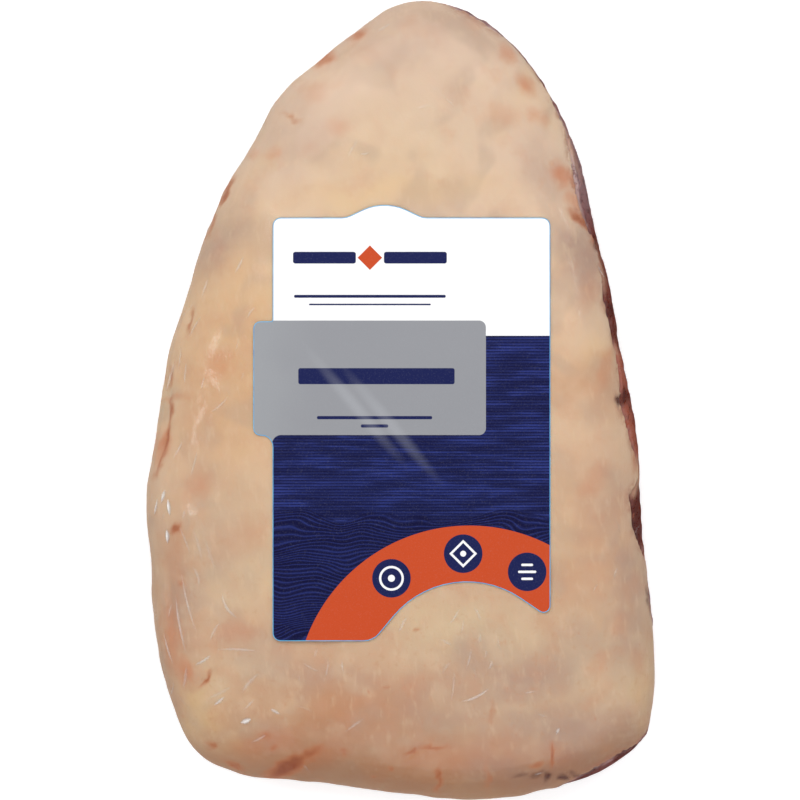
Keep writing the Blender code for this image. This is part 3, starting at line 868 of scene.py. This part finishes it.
def fold(path, width, height, strength):
    """One ridge along points and normals on the film, fading out at both ends and at its sides."""
    count = len(path)
    rows = []
    for i, (point, _) in enumerate(path):
        ahead = path[min(i + 1, count - 1)][0] - path[max(i - 1, 0)][0]
        normal = sum((beside[1] for beside in path[max(i - 2, 0) : i + 3]), Vector()).normalized()
        side = normal.cross(ahead).normalized()
        fade = math.sin(math.pi * (i + 0.35) / (count - 0.3)) ** 0.7
        half, rise = width * MM * fade / 2, height * MM * fade
        row = []
        for across, up in FOLD_PROFILE:
            lift = up * rise if up > 0 else up * MM
            row.append(fold_mesh.verts.new(point + side * half * across + normal * lift))
            # The share of painted highlight white, most along the top of the ridge
            row[-1][painted_glint_layer] = max(up, 0.0) ** 1.2 * fade * strength
        rows.append(row)
    for near_row, far_row in zip(rows, rows[1:]):
        for k in range(len(FOLD_PROFILE)):
            beyond = (k + 1) % len(FOLD_PROFILE)
            fold_mesh.faces.new((far_row[k], far_row[beyond], near_row[beyond], near_row[k]))
    fold_mesh.faces.new(rows[0])
    fold_mesh.faces.new(rows[-1][::-1])


def dropped(plan):
    """A path in plan, in mm, laid on the film from above, or nothing if it misses."""
    path = []
    for x, y in plan:
        point, normal, _, _ = film_tree.ray_cast(Vector((x * MM, y * MM, DROP_FROM)), DOWN)
        if point is None:
            return None
        path.append((point, normal))
    return path


laid = []


def lay(path, width, height, strength):
    """Makes the fold if its whole path lies on the film and no earlier fold is close to it."""
    if path is None or any((point - other).length < FOLDS_APART for point, _ in path for other in laid):
        return
    laid.extend(point for point, _ in path)
    fold(path, width, height, strength)


for x, y, turn, length, bend, width, height in TOP_FOLDS:
    path = dropped(walk(x, y, turn, length, bend))
    lay(path, width * FOLD_WIDER, height * FOLD_LOWER, (height * FOLD_SHINE) ** 2)
for x, y, radius, count, turn, spread, length, width in FOLD_FIELDS:
    for _ in range(count):
        reach, bearing = radius * math.sqrt(fold_draw.uniform()), fold_draw.uniform(0, 2 * math.pi)
        long = length * fold_draw.uniform(0.5, 1.5)
        heading = turn + spread * fold_draw.normal() * 0.6
        middle = (x + reach * math.cos(bearing), y + reach * math.sin(bearing))
        plan = walk(*middle, heading, long, fold_draw.uniform(-45, 45))
        shine = fold_draw.uniform(0.05, 0.24)
        lay(dropped(plan), width * fold_draw.uniform(2.0, 4.0), fold_draw.uniform(0.10, 0.26), shine)
for _ in range(FLANK_FOLDS):
    bearing = fold_draw.uniform(0, 2 * math.pi)
    height_from, height_to = fold_draw.uniform(0.004, 0.030), fold_draw.uniform(0.003, 0.030)
    sweep = fold_draw.uniform(0.03, 0.16) * fold_draw.choice([-1, 1])
    path = []
    for share in np.linspace(0, 1, FLANK_STEPS):
        angle = bearing + sweep * share
        height = height_from + (height_to - height_from) * share
        outwards = Vector((math.cos(angle), math.sin(angle), 0.0))
        middle = Vector((*FLANK_MIDDLE, height))
        point, normal, _, _ = film_tree.ray_cast(middle + outwards * 0.25, -outwards)
        if point is not None:
            path.append((point, normal))
    if len(path) == FLANK_STEPS:
        width, height = fold_draw.uniform(0.8, 1.6), fold_draw.uniform(0.1, 0.25)
        lay(path, width, height, fold_draw.uniform(0.10, 0.35))
folds_data = bpy.data.meshes.new("film_folds")
fold_mesh.to_mesh(folds_data)
fold_mesh.free()
folds_data.shade_smooth()
film_folds = linked("film_folds", folds_data)

folds_finish, start, place = new_finish("folds_finish")
# Painted highlight: a glossy white laid on the folds by that share, standing for the glints they catch;
# their gloss is real
painted_glint_white = start.node(
    "BsdfPrincipled",
    {},
    {"Base Color": (1.0, 0.97, 0.94, 1.0), "Roughness": 0.20, "Specular IOR Level": 0.6},
)
clear = start.node("BsdfTransparent", {}, {"Color": (1.0, 1.0, 1.0, 1.0)})
shine = start.value("painted_glint_share") * (place.noise(2.4, 2.0, 0.5) * 0.8 + 0.6)
folds_shader = start.node("MixShader", {}, {0: shine, 1: clear, 2: painted_glint_white})
shown_by(folds_shader)
folds_data.materials.append(folds_finish)
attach(film_folds, "root")

# The label. Printed paper with a satin varnish, die-cut with a dome, a tab and an arch, and stuck on the
# film. The solid's outline is kept and laid down again on the finer film. Its print is flat fields of white,
# grey, navy and orange, with plain rules, engraved lines and waves in the navy, and three plain badges.
LABEL_CELL = 0.0022
LABEL_LIFT = 0.00020
LABEL_THICKNESS = 0.00016
KEYLINE = 0.00030
LABEL_RIPPLE = 0.00006

label_shape = bmesh.new()
label_shape.from_mesh(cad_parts["label"].data)
bmesh.ops.remove_doubles(label_shape, verts=label_shape.verts, dist=0.01 * MM)
under_faces = [face for face in label_shape.faces if face.normal.z < 0.5]
bmesh.ops.delete(label_shape, geom=under_faces, context="FACES")
for corner in label_shape.verts:
    corner.co.z = 0.0
bmesh.ops.dissolve_faces(label_shape, faces=label_shape.faces, use_verts=False)
inside = label_shape.faces[:]
ring = bmesh.ops.inset_region(
    label_shape, faces=inside, thickness=KEYLINE, use_even_offset=True, use_boundary=True
)
for face in ring["faces"]:
    face.material_index = 1
bmesh.ops.triangulate(label_shape, faces=label_shape.faces)
for axis in (0, 1):
    places = [corner.co[axis] for corner in label_shape.verts]
    cuts = int((max(places) - min(places)) / LABEL_CELL)
    for i in range(1, cuts):
        cut_at, cut_normal = [0.0, 0.0, 0.0], [0.0, 0.0, 0.0]
        cut_at[axis] = min(places) + (max(places) - min(places)) * i / cuts
        cut_normal[axis] = 1.0
        everything = label_shape.verts[:] + label_shape.edges[:] + label_shape.faces[:]
        bmesh.ops.bisect_plane(
            label_shape, geom=everything, plane_co=cut_at, plane_no=cut_normal, dist=0.02 * MM
        )
plan_points = np.array([corner.co for corner in label_shape.verts])
slanted_points = plan_points @ np.array([[1, 0.5, 0], [0.5, 0.3, 0], [0, 0, 1]])
label_heights = LABEL_RIPPLE * swells(slanted_points, 0.012, 31)
for corner, ripple in zip(label_shape.verts, label_heights):
    landed = film_tree.ray_cast(Vector((corner.co.x, corner.co.y, DROP_FROM)), DOWN)[0]
    corner.co.z = landed.z + LABEL_LIFT + ripple
label_under = bmesh.ops.extrude_face_region(label_shape, geom=label_shape.faces[:])
for corner in label_under["geom"]:
    if isinstance(corner, bmesh.types.BMVert):
        corner.co.z -= LABEL_THICKNESS
bmesh.ops.recalc_face_normals(label_shape, faces=label_shape.faces)
label_mesh = bpy.data.meshes.new("label_sheet")
label_shape.to_mesh(label_mesh)
label_shape.free()
label_mesh.shade_smooth()
label_mesh.set_sharp_from_angle(angle=math.radians(50))
label_sheet = linked("label_sheet", label_mesh)

WHITE_PAPER = screen(250, 250, 250)
NAVY = screen(29, 35, 82)
NAVY_LIGHT = screen(48, 60, 130)
NAVY_DARK = screen(18, 18, 56)
GREY = screen(149, 150, 155)
GREY_PALE = screen(158, 160, 164)
ORANGE = screen(200, 78, 42)
PRINT_EDGE = 0.07
PAPER_SHADE = screen(215, 215, 220)
KEYLINE_BLUE = screen(98, 178, 222)
KEYLINE_DEEP = screen(66, 130, 190)
# Painted highlights: two soft diagonal streaks of glare, painted into the print's colour
GLARE = screen(235, 238, 245)
GLARES = (((-17.0, -2.0, 0.0), 0.10), ((-3.5, -9.0, 0.0), 0.09))
GLARE_TURN = math.radians(-50)
# Where the print's fields lie on the label, in mm
WHITE_FOOT = 24.0
PANEL = (-60.0, 32.1, -13.1, 29.7, 2.6)
NAVY_FIELD = (-47.8, 60.0, -95.0, -13.1, 3.4)
WAVES_TOP = -44.0
HATCH_PITCH, WAVE_PITCH = 1.12, 1.3
BAND_MIDDLE, BAND_RADIUS = (25.9, -111.9), 65.0
BADGES = ((-3.2, -66.6), (23.6, -57.4), (47.5, -64.2))
BADGE_RADIUS = 7.2
RING_RADIUS, RING_HALF, RING_DOT = 4.2, 0.42, 1.3
LOZENGE_REACH, LOZENGE_HALF, LOZENGE_DOT = 4.6, 0.58, 1.1
BARS = ((-2.6, 2.2), (0.0, 3.4), (2.6, 2.2))  # how far up from the badge's middle, and half the length
BAR_THICK = 0.9
DIAMOND, DIAMOND_REACH = (-11.25, 53.2), 4.6
# Plain rules on the print, in mm: left, right, foot, top, corner radius
RULES = (
    (-38.0, 20.4, 5.9, 11.9, 0.8),
    (-31.0, 12.0, -7.2, -6.0, 0.5),
    (-14.6, -4.4, -10.3, -9.1, 0.5),
    (-40.0, -16.5, 51.0, 55.4, 0.9),
    (-6.0, 17.5, 51.0, 55.4, 0.9),
    (-39.6, 17.1, 38.2, 39.3, 0.5),
    (-34.0, 11.5, 35.4, 36.0, 0.3),
)


def crisp(distance):
    """1 inside a printed shape and 0 outside, by the distance to its edge, which is negative inside."""
    return distance.eased(PRINT_EDGE, -PRINT_EDGE)


def away(x, y, middle):
    """Distance from a point of the print."""
    from_x, from_y = x - middle[0], y - middle[1]
    return (from_x * from_x + from_y * from_y).sum("SQRT")


def block(x, y, left, right, foot, top, corner):
    """A printed rectangle with round corners."""
    out_x = (x - (left + right) / 2).sum("ABSOLUTE") - ((right - left) / 2 - corner)
    out_y = (y - (foot + top) / 2).sum("ABSOLUTE") - ((top - foot) / 2 - corner)
    round_x, round_y = out_x.most(0.0), out_y.most(0.0)
    outside = (round_x * round_x + round_y * round_y).sum("SQRT")
    return crisp(outside + out_x.most(out_y).least(0.0) - corner)


print_finish, start, place = new_finish("label_finish")
split = start.node("SeparateXYZ", {}, {0: place})
x, y = split, split.beside(1)
navy_below = crisp(y - WHITE_FOOT)
colour = plain(start, WHITE_PAPER)
hatch_drift = place.fitted((0, 0, 0), (12.0, 1.6, 1.0)).noise(1.0, 2.0, 0.5)
hatch = ((y + hatch_drift * 0.35) * (2 * math.pi / HATCH_PITCH)).sum("SINE")
swell = place.fitted((0, 0, 0), (1.0, 0.62, 1.0), (0, 0, 0.12)).noise(24.0, 1.0, 0.4)
waves = ((y + swell * 15.0) * (2 * math.pi / WAVE_PITCH)).sum("SINE")
wave_zone = (y + swell * 16.0).eased(WAVES_TOP + 10.0, WAVES_TOP + 7.0)
engraved = hatch * (1 - wave_zone) + waves * wave_zone
patchy = place.fitted((0, 0, 0), (10.0, 1.0, 1.0)).noise(2.4, 3.0, 0.6)
broad = place.fitted((0, 0, 0), (3.0, 1.0, 1.0)).noise(9.0, 2.0, 0.5)
navy = plain(start, NAVY)
navy = navy.over(NAVY_LIGHT, patchy.eased(0.46, 0.66) * 0.75)
navy = navy.over(NAVY_LIGHT, broad.eased(0.48, 0.64) * 0.35)
navy = navy.over(NAVY_DARK, patchy.eased(0.48, 0.32) * 0.45 + wave_zone * 0.70)
navy = navy.over(NAVY_DARK, engraved.eased(0.0, 0.8) * 0.85)
navy = navy.over(NAVY_LIGHT, engraved.eased(-0.5, -1.0) * wave_zone * 0.45)
colour = colour.over(navy, navy_below)
band = crisp(away(x, y, BAND_MIDDLE) - BAND_RADIUS)
colour = colour.over(ORANGE, band * navy_below)
for badge in BADGES:
    colour = colour.over(NAVY, crisp(away(x, y, badge) - BADGE_RADIUS))
from_ring = away(x, y, BADGES[0])
ring = crisp((from_ring - RING_RADIUS).sum("ABSOLUTE") - RING_HALF).most(crisp(from_ring - RING_DOT))
lozenge_out = (x - BADGES[1][0]).sum("ABSOLUTE") + (y - BADGES[1][1]).sum("ABSOLUTE") - LOZENGE_REACH
lozenge = crisp(lozenge_out.sum("ABSOLUTE") - LOZENGE_HALF)
lozenge = lozenge.most(crisp(away(x, y, BADGES[1]) - LOZENGE_DOT))
bars = None
for up, half in BARS:
    left, low = BADGES[2][0] - half, BADGES[2][1] + up - BAR_THICK / 2
    bar = block(x, y, left, left + 2 * half, low, low + BAR_THICK, BAR_THICK / 2)
    bars = bar if bars is None else bars.most(bar)
colour = colour.over(WHITE_PAPER, ring.most(lozenge).most(bars))
panel = block(x, y, *PANEL)
corner_x, corner_y = NAVY_FIELD[0] + NAVY_FIELD[4], NAVY_FIELD[3] - NAVY_FIELD[4]
corner_out = crisp(NAVY_FIELD[4] - away(x, y, (corner_x, corner_y)))
corner_here = crisp(x - corner_x) * crisp(corner_y - y)
panel_cloud = place.noise(20.0, 1.0, 0.5) * 14.0
panel_grey = plain(start, GREY).over(GREY_PALE, (x + panel_cloud).eased(-22.0, -52.0) * 0.8)
colour = colour.over(panel_grey, panel.most(corner_out * corner_here * crisp(y - PANEL[3])))
rules = block(x, y, *RULES[0])
for rule in RULES[1:]:
    rules = rules.most(block(x, y, *rule))
colour = colour.over(NAVY, rules)
diamond = crisp((x - DIAMOND[0]).sum("ABSOLUTE") + (y - DIAMOND[1]).sum("ABSOLUTE") - DIAMOND_REACH)
colour = colour.over(ORANGE, diamond)
# Painted highlights: the glare streaks laid over the print
for glare_place, glare_share in GLARES:
    slant = place.fitted(glare_place, (26.0, 2.6, 1.0), (0, 0, GLARE_TURN))
    flat = slant.node("VectorMath", {"operation": "MULTIPLY"}, {0: slant, 1: (1.0, 1.0, 0.0)})
    colour = colour.over(GLARE, flat.length().eased(1.3, 0.1) * glare_share)
paper = place.noise(0.5, 2.0, 0.6)
colour = colour.over(PAPER_SHADE, paper.eased(0.5, 0.8) * 0.04)
uneven = paper + place.noise(9.0, 2.0, 0.5) * 3.0
bump = start.node("Bump", {}, {"Height": uneven, "Strength": 0.12, "Distance": 0.0004})
label_shader = start.node(
    "BsdfPrincipled",
    {},
    {"Base Color": colour, "Roughness": 0.38 + paper * 0.08, "Normal": bump, "Specular IOR Level": 0.05},
)
shown_by(label_shader)
label_mesh.materials.append(print_finish)

keyline_finish, start, place = new_finish("keyline_finish")
thin = place.noise(6.0, 2.0, 0.5)
colour = plain(start, KEYLINE_BLUE).over(KEYLINE_DEEP, thin.eased(0.4, 0.7) * 0.6)
rough = 0.40 + thin * 0.05
keyline_shader = start.node("BsdfPrincipled", {}, {"Base Color": colour, "Roughness": rough})
shown_by(keyline_shader)
label_mesh.materials.append(keyline_finish)
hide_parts("label")
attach(label_sheet, "root")
